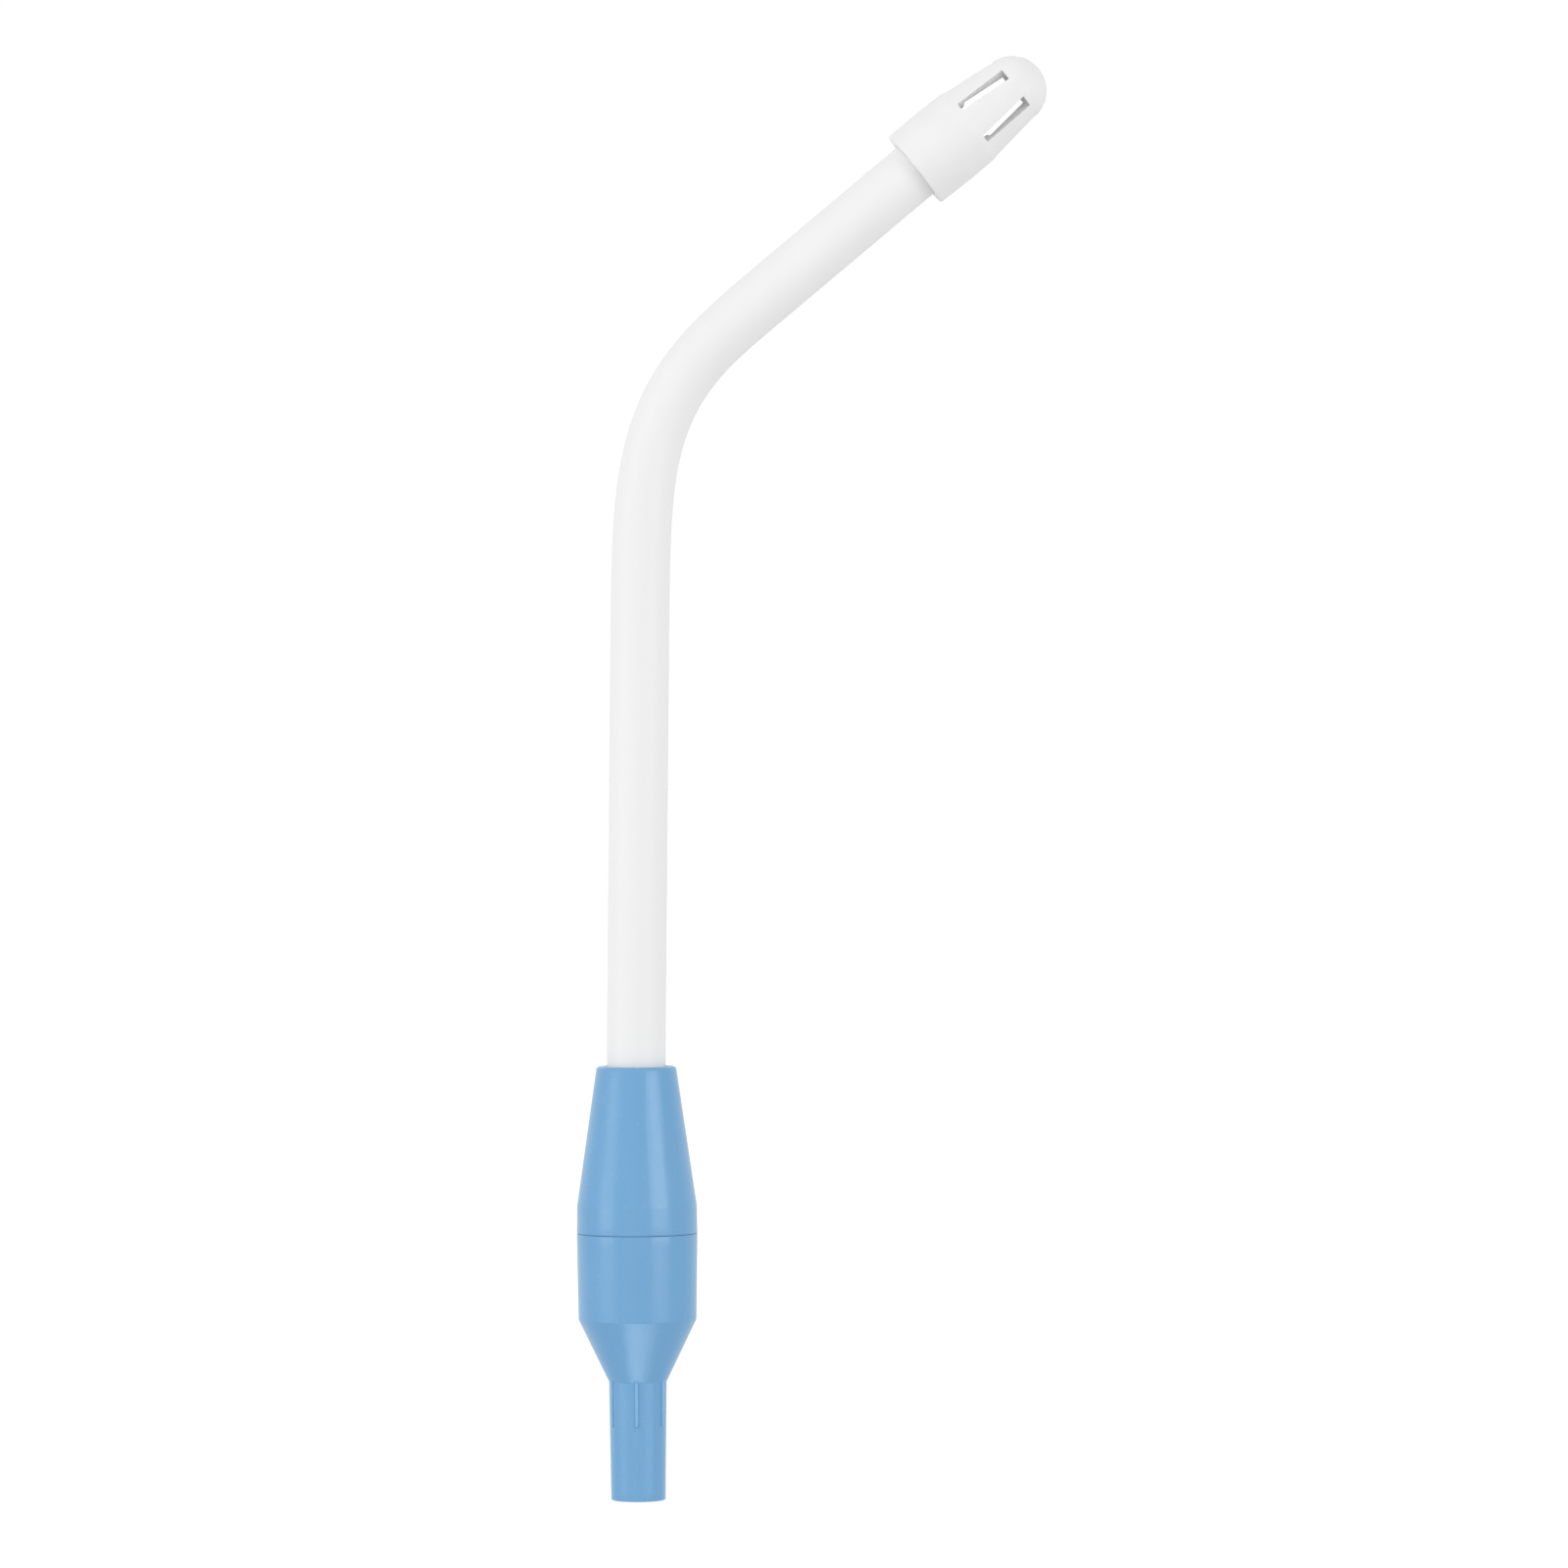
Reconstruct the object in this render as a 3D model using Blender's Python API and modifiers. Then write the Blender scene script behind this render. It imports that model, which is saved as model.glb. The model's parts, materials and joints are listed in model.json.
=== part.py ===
"""Saliva ejector tip, in metres, +Z up.

A bendable suction tube carries a slotted cap and stands in a two-part housing, which
holds a duckbill valve against backflow.  The origin is the centre of the tail's open
end, the tail points down, and the tube bends towards +X.
"""
import math

import bmesh
import bpy
import numpy as np
from mathutils import Matrix, Vector

MM = 0.001

# Clearances between neighbouring pieces
GAP = 0.3
BEND_GAP = 0.7

# Facets
TURNED_SIDES = 40
TUBE_BEVEL = 10
WIRE_BEVEL = 2
CHANNEL_BEVEL = 3
FILLET_STEPS = 2
DOME_STEPS = 7
TURN_STEP = math.radians(2.1)
SHARP_ANGLE = math.radians(28)

# Lower housing, from the tail's open end up to the seam (millimetres)
TAIL_TOP = 13.1
TAIL_END_RADIUS = 3.0
TAIL_TOP_RADIUS = 3.18
TAIL_BORE_RADIUS = 2.1
TAIL_BORE_TOP = 13.2
TAIL_BORE_TOP_RADIUS = 2.2
SHOULDER = 19.9
SHOULDER_RADIUS = 6.5
CHAMBER_BOTTOM = 19.8
CHAMBER_RADIUS = 5.0
LEDGE = 24.8
RECESS_RADIUS = 5.7
SEAM = 29.4
SEAM_RADIUS = 6.65
RIB_COUNT = 6
RIB_WIDTH = 0.37
RIB_HEIGHT = 0.17
RIB_BOTTOM = 8.15
RIB_TOP = 13.45
RIB_ROOT_RADIUS = 2.8
FIRST_RIB = math.radians(-91.8)

# Upper housing, from the seam up to the rim around the tube
SPIGOT_BOTTOM = 26.3
SPIGOT_RADIUS = 5.4
SPIGOT_BORE_RADIUS = 4.5
THROAT_BOTTOM = 33.0
THROAT_RADIUS = 2.4
THROAT_TOP = 36.2
SOCKET_BOTTOM = 37.0
SOCKET_RADIUS = 3.35
BAND_TOP = 32.45
BAND_TOP_RADIUS = 6.6
RIM = 47.8
RIM_RADIUS = 4.375
LEAD_IN = 0.4
MOUTH_RADIUS = 3.5

# Duckbill valve, clamped by its flange between the two housings
FLANGE_RADIUS = 5.3
VALVE_RADIUS = 3.6
VALVE_WALL = 0.8
VALVE_BOTTOM = 22.6
LIP_LENGTH = 4.7
LIP_HALF_WIDTH = 3.0
LIP_LEVELS = 4
LIP_STEPS = 12
LIP_PIVOT_RADIUS = 3.2

# Tube and the wire that keeps its bend
TUBE_RADIUS = 3.25
LUMEN_RADIUS = 2.25
WIRE_RADIUS = 0.25
CHANNEL_RADIUS = 0.37
WIRE_OFFSET = 2.75
LEAN = math.radians(0.784)
LEAN_START = 47.8
LEAN_LENGTH = 5.0
BEND = math.radians(49.411)
BEND_START = 73.443
BEND_LENGTH = 66.63
BEND_RISE = 9.52
BEND_FALL = 3.45
BEND_HINGES = 6

# Slotted cap, in its own frame: +Z runs along its axis from the open base to the nose
CAP_STATION = 158.8
CAP_TILT = math.radians(1.0)
CAP_TILT_CENTRE = 5.1
CAP_BASE_RADIUS = 4.63
CAP_WAIST = 4.3
CAP_WAIST_RADIUS = 4.69
CAP_TAPER = 7.3
CAP_TAPER_RADIUS = 4.64
CAP_CONE = 8.1
CAP_CONE_RADIUS = 4.48
DOME_CENTRE = 13.8
DOME_RADIUS = 3.815
DOME_START = math.radians(6.42)
CAP_BORE_RADIUS = 3.4
CAP_STOP = 7.7
CAP_STOP_TOP = 8.36
CAP_STOP_RADIUS = 3.1
CAVITY_BOTTOM = 8.78
CAVITY_RADIUS = 3.8
CAVITY_DOME_RADIUS = 2.42
CAVITY_DOME_START = math.radians(14.2)
SLOT_BOTTOM = 7.93
SLOT_TOP = 14.13
SLOT_BOTTOM_WIDTH = 0.98
SLOT_TOP_WIDTH = 1.4
SLOT_PAIRS = 3
FIRST_SLOT = math.radians(32.8)

# Colour, roughness and metallic value of each material
WHITE_PVC = ((0.86, 0.86, 0.85, 1), 0.38, 0)
WHITE_CAP = ((0.84, 0.84, 0.84, 1), 0.45, 0)
BLUE_PLASTIC = ((0.19, 0.41, 0.68, 1), 0.42, 0)
CLEAR_SILICONE = ((0.80, 0.83, 0.85, 1), 0.5, 0)
SOFT_STEEL = ((0.55, 0.36, 0.24, 1), 0.35, 1)

for leftover in list(bpy.data.objects):
    bpy.data.objects.remove(leftover)


def collection(name):
    """New collection under the scene."""
    made = bpy.data.collections.new(name)
    bpy.context.scene.collection.children.link(made)
    return made


PARTS = collection("saliva_ejector_tip")
CUTTERS = collection("cutters")


# ---- the tube's centreline -------------------------------------------------------

def running_sum(values):
    """Trapezium sum of values along the path, from 0."""
    return np.concatenate([[0], np.cumsum((values[1:] + values[:-1]) / 2)])


PATH = np.linspace(0, 175, 35001)
along = np.clip((PATH - BEND_START) / BEND_LENGTH, 0, 1)
bent = running_sum(along**BEND_RISE * (1 - along)**BEND_FALL)
BEND_SHARE = bent / bent[-1]
lean = np.clip((PATH - LEAN_START) / LEAN_LENGTH, 0, 1)
TURN = LEAN * lean**2 * (3 - 2 * lean) + BEND * BEND_SHARE
PATH_X = running_sum(np.sin(TURN)) * PATH[1]
PATH_Z = running_sum(np.cos(TURN)) * PATH[1]


def centre(station, side=0):
    """Point on the tube's centreline at a path length, moved to the side along +Y."""
    x = np.interp(station, PATH, PATH_X)
    z = np.interp(station, PATH, PATH_Z)
    return Vector((x, side, z)) * MM


def stations(start, end):
    """Path lengths from start to end, closer together where the tube turns."""
    first, last = np.interp([start, end], PATH, TURN)
    steps = max(1, math.ceil((last - first) / TURN_STEP))
    between = np.linspace(first, last, steps + 1)[1:-1]
    return [start, *np.interp(between, TURN, PATH), end]


# ---- modelling helpers -----------------------------------------------------------

def material(name, look):
    """Principled material with a colour, a roughness and a metallic value."""
    made = bpy.data.materials.new(name)
    made.use_nodes = True
    shader = made.node_tree.nodes["Principled BSDF"]
    colour, roughness, metallic = look
    shader.inputs["Base Color"].default_value = colour
    shader.inputs["Roughness"].default_value = roughness
    shader.inputs["Metallic"].default_value = metallic
    made.diffuse_color = colour
    return made


def link(name, data, group=None):
    """New object in the parts' collection, or in another."""
    made = bpy.data.objects.new(name, data)
    (group or PARTS).objects.link(made)
    return made


def as_cutter(piece):
    """Hide a piece that only shapes another one."""
    piece.hide_render = True
    piece.display_type = "WIRE"
    return piece


def bake(piece):
    """Replace a piece by the mesh that its modifiers or its curve make, in place."""
    bpy.context.view_layer.update()
    graph = bpy.context.evaluated_depsgraph_get()
    mesh = bpy.data.meshes.new_from_object(piece.evaluated_get(graph))
    mesh.transform(piece.matrix_world)
    name = piece.name
    group = piece.users_collection[0]
    bpy.data.objects.remove(piece)
    cleaned = bmesh.new()
    cleaned.from_mesh(mesh)
    bmesh.ops.remove_doubles(cleaned, verts=cleaned.verts, dist=1e-6)
    cleaned.to_mesh(mesh)
    cleaned.free()
    mesh.name = name
    mesh.shade_smooth()
    mesh.set_sharp_from_angle(angle=SHARP_ANGLE)
    return link(name, mesh, group)


def boolean(piece, other, operation="DIFFERENCE"):
    """Cut another solid out of a piece, or join it on."""
    step = piece.modifiers.new(other.name, "BOOLEAN")
    step.operation = operation
    step.object = other
    step.solver = "EXACT"


def outline(corners):
    """Closed outline in millimetres through (radius, height, fillet) corners."""
    points = []
    for index, (radius, height, fillet) in enumerate(corners):
        corner = Vector((radius, height))
        if not fillet:
            points.append(corner)
            continue
        back = (Vector(corners[index - 1][:2]) - corner).normalized()
        onward = (Vector(corners[(index + 1) % len(corners)][:2]) - corner).normalized()
        half = back.angle(onward) / 2
        middle = corner + (back + onward).normalized() * fillet / math.sin(half)
        start = corner + back * fillet / math.tan(half) - middle
        end = corner + onward * fillet / math.tan(half) - middle
        sweep = math.atan2(end.y, end.x) - math.atan2(start.y, start.x)
        sweep = (sweep + math.pi) % math.tau - math.pi
        for step in range(FILLET_STEPS + 1):
            turn = Matrix.Rotation(sweep * step / FILLET_STEPS, 2)
            points.append(middle + turn @ start)
    return points


def dome(radius, height, start, end):
    """Outline points of a dome on the axis, from one angle above its equator to another."""
    angles = np.linspace(start, end, DOME_STEPS + 1)
    return [Vector((radius * math.cos(a), height + radius * math.sin(a))) for a in angles]


def turned(name, points, closed=True):
    """Solid turned about +Z from an outline that runs down its outer side."""
    mesh = bpy.data.meshes.new(name)
    places = [Vector((p.x, 0, p.y)) * MM for p in points]
    edges = [(i, i + 1) for i in range(len(points) - 1)]
    if closed:
        edges.append((len(points) - 1, 0))
    mesh.from_pydata(places, edges, [])
    piece = link(name, mesh)
    screw = piece.modifiers.new("turn", "SCREW")
    screw.steps = TURNED_SIDES
    screw.render_steps = TURNED_SIDES
    screw.use_merge_vertices = True
    screw.merge_threshold = 1e-6
    return bake(piece)


def pipe(name, start, end, radius, bevel, side=0, group=None):
    """Round solid along the tube's centreline between two path lengths."""
    curve = bpy.data.curves.new(name, "CURVE")
    curve.dimensions = "3D"
    curve.twist_mode = "MINIMUM"
    curve.bevel_depth = radius * MM
    curve.bevel_resolution = bevel
    curve.use_fill_caps = True
    spline = curve.splines.new("POLY")
    places = [centre(station, side) for station in stations(start, end)]
    spline.points.add(len(places) - 1)
    for point, place in zip(spline.points, places):
        point.co = (*place, 1)
    return bake(link(name, curve, group))


# ---- the pieces ------------------------------------------------------------------

def tail_ribs():
    """Short ribs on the tail, joined to the lower housing."""
    ribs = bmesh.new()
    for number in range(RIB_COUNT):
        box = bmesh.ops.create_cube(ribs, size=1)["verts"]
        for corner in box:
            height = RIB_BOTTOM if corner.co.z < 0 else RIB_TOP
            draft = (TAIL_TOP_RADIUS - TAIL_END_RADIUS) * height / TAIL_TOP
            face = TAIL_END_RADIUS + draft + RIB_HEIGHT
            radius = RIB_ROOT_RADIUS if corner.co.x < 0 else face
            corner.co = Vector((radius, corner.co.y * RIB_WIDTH, height)) * MM
        turn = Matrix.Rotation(FIRST_RIB + number * math.tau / RIB_COUNT, 3, "Z")
        bmesh.ops.rotate(ribs, verts=box, cent=(0, 0, 0), matrix=turn)
    mesh = bpy.data.meshes.new("tail_ribs")
    ribs.to_mesh(mesh)
    ribs.free()
    return as_cutter(link("tail_ribs", mesh, CUTTERS))


def lower_housing():
    """Tail, cone and barrel below the seam, hollow from the seam to the tail's end."""
    piece = turned("lower_housing", outline([
        (SEAM_RADIUS, SEAM, 0.12),
        (SHOULDER_RADIUS, SHOULDER, 0.4),
        (TAIL_TOP_RADIUS, TAIL_TOP, 0),
        (TAIL_END_RADIUS, 0, 0.15),
        (TAIL_BORE_RADIUS, 0, 0),
        (TAIL_BORE_TOP_RADIUS, TAIL_BORE_TOP, 0),
        (CHAMBER_RADIUS, CHAMBER_BOTTOM, 0),
        (CHAMBER_RADIUS, LEDGE, 0),
        (RECESS_RADIUS, LEDGE, 0),
        (RECESS_RADIUS, SEAM, 0),
    ]))
    ribs = tail_ribs()
    boolean(piece, ribs, "UNION")
    piece = bake(piece)
    bpy.data.objects.remove(ribs)
    return piece


def upper_housing():
    """Band, cone and rim above the seam, with a spigot below and the tube's socket above."""
    return turned("upper_housing", outline([
        (RIM_RADIUS, RIM, 0.4),
        (BAND_TOP_RADIUS, BAND_TOP, 0.5),
        (SEAM_RADIUS, SEAM + GAP, 0),
        (SPIGOT_RADIUS, SEAM + GAP, 0),
        (SPIGOT_RADIUS, SPIGOT_BOTTOM, 0),
        (SPIGOT_BORE_RADIUS, SPIGOT_BOTTOM, 0),
        (SPIGOT_BORE_RADIUS, THROAT_BOTTOM, 0),
        (THROAT_RADIUS, THROAT_TOP, 0),
        (THROAT_RADIUS, SOCKET_BOTTOM, 0),
        (SOCKET_RADIUS, SOCKET_BOTTOM, 0),
        (SOCKET_RADIUS, RIM - LEAD_IN, 0),
        (MOUTH_RADIUS, RIM, 0),
    ]))


def duckbill_barrel():
    """Flange and short barrel of the valve."""
    return turned("duckbill_barrel", outline([
        (FLANGE_RADIUS, SPIGOT_BOTTOM - GAP, 0),
        (FLANGE_RADIUS, LEDGE + GAP, 0),
        (VALVE_RADIUS, LEDGE + GAP, 0),
        (VALVE_RADIUS, VALVE_BOTTOM, 0),
        (VALVE_RADIUS - VALVE_WALL, VALVE_BOTTOM, 0),
        (VALVE_RADIUS - VALVE_WALL, SPIGOT_BOTTOM - GAP, 0),
    ]))


def lip_row(turn, share, side):
    """Outer and inner point of a lip: a half ring at share 0, a flat blade at share 1."""
    height = VALVE_BOTTOM - GAP - share * LIP_LENGTH
    pair = []
    for radius, blade in ((VALVE_RADIUS, GAP / 2 + VALVE_WALL), (VALVE_RADIUS - VALVE_WALL, GAP / 2)):
        x = max((1 - share) * radius * math.cos(turn) + share * blade, GAP / 2)
        y = ((1 - share) * radius + share * LIP_HALF_WIDTH) * math.sin(turn)
        pair.append(Vector((side * x, y, height)) * MM)
    return pair


def duckbill_lip(name, side):
    """One lip of the valve, which closes against the other on the plane x = 0."""
    lip = bmesh.new()
    half = math.acos(GAP / 2 / VALVE_RADIUS)
    turns = np.linspace(-half, half, LIP_STEPS + 1)
    rings = []
    for level in range(LIP_LEVELS + 1):
        pairs = [lip_row(turn, level / LIP_LEVELS, side) for turn in turns]
        places = [outer for outer, inner in pairs] + [inner for outer, inner in pairs][::-1]
        rings.append([lip.verts.new(place) for place in places])
    count = len(rings[0])
    for upper, lower in zip(rings, rings[1:]):
        for i in range(count):
            j = (i + 1) % count
            lip.faces.new((upper[i], upper[j], lower[j], lower[i]))
    for ring in (rings[0], rings[-1]):
        for i in range(LIP_STEPS):
            lip.faces.new((ring[i], ring[i + 1], ring[count - 2 - i], ring[count - 1 - i]))
    bmesh.ops.recalc_face_normals(lip, faces=lip.faces)
    mesh = bpy.data.meshes.new(name)
    lip.to_mesh(mesh)
    lip.free()
    return bake(link(name, mesh))


def tube_piece(name, start, end, lumen, channel):
    """Stretch of the tube, with its lumen and the wire's channel in its wall."""
    piece = pipe(name, start, end, TUBE_RADIUS, TUBE_BEVEL)
    boolean(piece, lumen)
    boolean(piece, channel)
    return bake(piece)


def slot_cutter(number):
    """Bar right through the cap, wider towards the nose, that cuts two opposite slots."""
    bar = bmesh.new()
    bmesh.ops.create_cube(bar, size=1)
    for corner in bar.verts:
        top = corner.co.z > 0
        width = SLOT_TOP_WIDTH if top else SLOT_BOTTOM_WIDTH
        height = SLOT_TOP if top else SLOT_BOTTOM
        reach = 3 * CAP_BASE_RADIUS
        corner.co = Vector((corner.co.x * width, corner.co.y * reach, height)) * MM
    turn = Matrix.Rotation(FIRST_SLOT + number * math.pi / SLOT_PAIRS, 3, "Z")
    bmesh.ops.rotate(bar, verts=bar.verts, cent=(0, 0, 0), matrix=turn)
    mesh = bpy.data.meshes.new("slot_cutter")
    bar.to_mesh(mesh)
    bar.free()
    return as_cutter(link("slot_cutter", mesh, CUTTERS))


def tip_cap():
    """Slotted cap in its own frame: a socket for the tube, a stop and a domed cavity."""
    crown = dome(DOME_RADIUS, DOME_CENTRE, math.pi / 2, DOME_START)
    cavity = dome(CAVITY_DOME_RADIUS, DOME_CENTRE, CAVITY_DOME_START, math.pi / 2)
    crown[0].x = 0
    cavity[-1].x = 0
    wall = [
        Vector((CAP_CONE_RADIUS, CAP_CONE)),
        Vector((CAP_TAPER_RADIUS, CAP_TAPER)),
        Vector((CAP_WAIST_RADIUS, CAP_WAIST)),
        Vector((CAP_BASE_RADIUS, GAP / 2)),
        Vector((CAP_BASE_RADIUS - GAP / 2, 0)),
        Vector((CAP_BORE_RADIUS, 0)),
        Vector((CAP_BORE_RADIUS, CAP_STOP)),
        Vector((CAP_STOP_RADIUS, CAP_STOP)),
        Vector((CAP_STOP_RADIUS, CAP_STOP_TOP)),
        Vector((CAVITY_RADIUS, CAVITY_BOTTOM)),
    ]
    piece = turned("tip_cap", crown + wall + cavity, closed=False)
    bars = [slot_cutter(number) for number in range(SLOT_PAIRS)]
    for bar in bars:
        boolean(piece, bar)
    piece = bake(piece)
    for bar in bars:
        bpy.data.objects.remove(bar)
    return piece


# ---- assembly --------------------------------------------------------------------

def pivot(name, place, parent=None, tilt=0):
    """Empty on a joint's axis, which its moving pieces and the next pivot hang on."""
    empty = link(name, None)
    empty.empty_display_size = 5 * MM
    world = Matrix.Translation(place) @ Matrix.Rotation(tilt, 4, "Y")
    if parent:
        empty.parent = parent[0]
        empty.matrix_local = parent[1].inverted() @ world
    else:
        empty.matrix_local = world
    return empty, world


def hang(piece, on, look, own_frame=False):
    """Parent a piece to a pivot, with its origin there, and give it its material."""
    empty, world = on
    if not own_frame:
        piece.data.transform(world.inverted())
    piece.parent = empty
    piece.data.materials.clear()
    piece.data.materials.append(material(piece.name, look))


def build():
    """Make every piece and hang it on its joint."""
    base = pivot("housing_frame", Vector((0, 0, 0)))
    hang(lower_housing(), base, BLUE_PLASTIC)
    hang(upper_housing(), base, BLUE_PLASTIC)
    hang(duckbill_barrel(), base, CLEAR_SILICONE)
    for name, side in (("left", -1), ("right", 1)):
        place = Vector((side * LIP_PIVOT_RADIUS, 0, VALVE_BOTTOM - GAP)) * MM
        lip_pivot = pivot(f"lip_pivot_{name}", place, base)
        hang(duckbill_lip(f"duckbill_lip_{name}", side), lip_pivot, CLEAR_SILICONE)

    tube_start = SOCKET_BOTTOM + GAP
    tube_end = CAP_STATION + CAP_STOP - GAP
    lumen = as_cutter(pipe("lumen", tube_start - 1, tube_end + 1, LUMEN_RADIUS,
                           TUBE_BEVEL, group=CUTTERS))
    channel = as_cutter(pipe("wire_channel", tube_start - 1, tube_end + 1, CHANNEL_RADIUS,
                             CHANNEL_BEVEL, WIRE_OFFSET, CUTTERS))
    shares = (np.arange(BEND_HINGES) + 0.5) / BEND_HINGES
    hinges = list(np.interp(shares, BEND_SHARE, PATH))
    names = ["stem", *(f"bend_{i}" for i in range(1, BEND_HINGES)), "neck"]
    starts = [tube_start, *(hinge + BEND_GAP / 2 for hinge in hinges)]
    ends = [*(hinge - BEND_GAP / 2 for hinge in hinges), tube_end]
    pivots = [SOCKET_BOTTOM, *hinges]
    hold = base
    for name, start, end, joint in zip(names, starts, ends, pivots):
        hold = pivot(f"{name}_pivot", centre(joint), hold)
        hang(tube_piece(f"tube_{name}", start, end, lumen, channel), hold, WHITE_PVC)
        wire = pipe(f"shaping_wire_{name}", start, end, WIRE_RADIUS, WIRE_BEVEL, WIRE_OFFSET)
        hang(wire, hold, SOFT_STEEL)
    for cutter in (lumen, channel):
        bpy.data.objects.remove(cutter)

    cap_turn = np.interp(CAP_STATION, PATH, TURN) + CAP_TILT
    cap_axis = Vector((math.sin(cap_turn), 0, math.cos(cap_turn)))
    cap_base = centre(CAP_STATION + CAP_TILT_CENTRE) - CAP_TILT_CENTRE * MM * cap_axis
    cap_slide = pivot("cap_slide", cap_base, hold, cap_turn)
    hang(tip_cap(), cap_slide, WHITE_CAP, own_frame=True)


build()
bpy.context.view_layer.update()
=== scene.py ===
"""Looks of the saliva ejector tip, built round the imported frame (metres, +Z up)."""
import json
import math

import bmesh
import bpy
import numpy as np
from mathutils import Matrix, Vector

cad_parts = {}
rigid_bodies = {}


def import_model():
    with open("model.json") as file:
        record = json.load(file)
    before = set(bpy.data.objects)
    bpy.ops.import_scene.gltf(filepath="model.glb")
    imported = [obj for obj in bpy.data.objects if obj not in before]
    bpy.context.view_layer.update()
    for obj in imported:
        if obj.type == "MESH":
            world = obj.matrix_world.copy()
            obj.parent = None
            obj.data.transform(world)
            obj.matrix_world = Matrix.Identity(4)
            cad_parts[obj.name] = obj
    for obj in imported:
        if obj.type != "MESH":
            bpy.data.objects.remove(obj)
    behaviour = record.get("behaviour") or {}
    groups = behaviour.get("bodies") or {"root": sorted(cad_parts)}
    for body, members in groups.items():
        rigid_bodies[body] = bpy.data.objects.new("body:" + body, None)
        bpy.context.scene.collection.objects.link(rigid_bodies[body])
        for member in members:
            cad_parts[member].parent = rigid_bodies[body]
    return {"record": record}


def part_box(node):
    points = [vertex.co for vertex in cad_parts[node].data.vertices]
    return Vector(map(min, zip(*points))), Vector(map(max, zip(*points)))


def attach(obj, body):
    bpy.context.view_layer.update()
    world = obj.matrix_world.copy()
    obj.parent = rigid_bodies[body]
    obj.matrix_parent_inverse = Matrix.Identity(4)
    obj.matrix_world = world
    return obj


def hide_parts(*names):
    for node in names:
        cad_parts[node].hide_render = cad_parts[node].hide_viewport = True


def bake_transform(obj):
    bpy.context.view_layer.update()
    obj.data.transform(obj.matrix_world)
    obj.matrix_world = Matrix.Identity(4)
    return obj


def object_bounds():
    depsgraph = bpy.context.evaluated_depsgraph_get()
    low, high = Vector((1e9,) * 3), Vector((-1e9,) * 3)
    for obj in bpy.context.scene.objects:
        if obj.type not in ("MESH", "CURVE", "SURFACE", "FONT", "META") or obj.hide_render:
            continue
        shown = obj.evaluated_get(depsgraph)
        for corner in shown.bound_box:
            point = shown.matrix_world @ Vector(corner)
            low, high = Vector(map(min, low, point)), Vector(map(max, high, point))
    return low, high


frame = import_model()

cad_low, cad_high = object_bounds()

MM = 0.001
JOINTS = {joint["name"]: joint for joint in frame["record"]["behaviour"]["joints"]}


def low(node):
    """Lowest corner of a CAD node, in millimetres."""
    return Vector(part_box(node)[0]) / MM


def high(node):
    """Highest corner of a CAD node, in millimetres."""
    return Vector(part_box(node)[1]) / MM


# ---- sizes, in millimetres -------------------------------------------------------

# Housing, from the frame
SEAM = high("lower_housing").z
SEAM_RADIUS = high("lower_housing").x
RIM = high("upper_housing").z
SPIGOT_BOTTOM = low("upper_housing").z
FLANGE_RADIUS = high("duckbill_barrel").x
FLANGE_TOP = high("duckbill_barrel").z
VALVE_BOTTOM = low("duckbill_barrel").z
LIP_BOTTOM = low("duckbill_lip_left").z
TUBE_BOTTOM = low("tube_stem").z

# Housing, walls and edges
TAIL_TOP = 13.1
TAIL_END_RADIUS = 3.0
TAIL_TOP_RADIUS = 3.18
FOOT_STEP = 0.03
TAIL_BORE_RADIUS = 2.1
TAIL_BORE_TOP = 13.2
TAIL_BORE_TOP_RADIUS = 2.2
SHOULDER = 19.9
SHOULDER_RADIUS = 6.5
CHAMBER_BOTTOM = 19.8
CHAMBER_RADIUS = 5.0
LEDGE = 24.8
RECESS_RADIUS = 5.7
RIB_COUNT = 6
RIB_HALF_WIDTH = 0.185
RIB_PROFILE = ([0, 0.12, 0.45, 0.78, 0.90, 1.0], [1, 0.98, 0.85, 0.68, 0.46, 0])
RIB_HEIGHT = 0.17
RIB_BOTTOM = 8.15
FIRST_RIB = math.radians(-91.8)
RIB_TURNS = FIRST_RIB + np.arange(RIB_COUNT) * math.tau / RIB_COUNT
BAND_TOP = 32.45
BAND_TOP_RADIUS = 6.6
RIM_RADIUS = 4.375
SEAM_LINE = 0.04
SPIGOT_RADIUS = 5.4
SPIGOT_BORE_RADIUS = 4.5
THROAT_BOTTOM = 33.0
THROAT_RADIUS = 2.4
THROAT_TOP = 36.2
SOCKET_BOTTOM = 37.0
SOCKET_RADIUS = 3.35
MOUTH_RADIUS = 3.5
LEAD_IN = 0.4

# Valve
FLANGE_BOTTOM = LEDGE + 0.3
VALVE_RADIUS = 3.6
VALVE_WALL = 0.8
LIP_HALF_GAP = 0.03
LIP_HALF_WIDTH = 3.0
LIP_THINNING = 0.35
LIP_EASE = 1.3

# Tube, wire and the law of the bend
TUBE_RADIUS = high("tube_stem").y
LUMEN_RADIUS = 2.25
WIRE_RADIUS = 0.25
WIRE_OFFSET = 2.75
LEAN = math.radians(0.784)
LEAN_START = 47.8
LEAN_LENGTH = 5.0
BEND = math.radians(49.411)
BEND_START = 73.443
BEND_LENGTH = 66.63
BEND_RISE = 9.52
BEND_FALL = 3.45
SQUEEZE = 0.033
SWELL = 0.02

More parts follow.
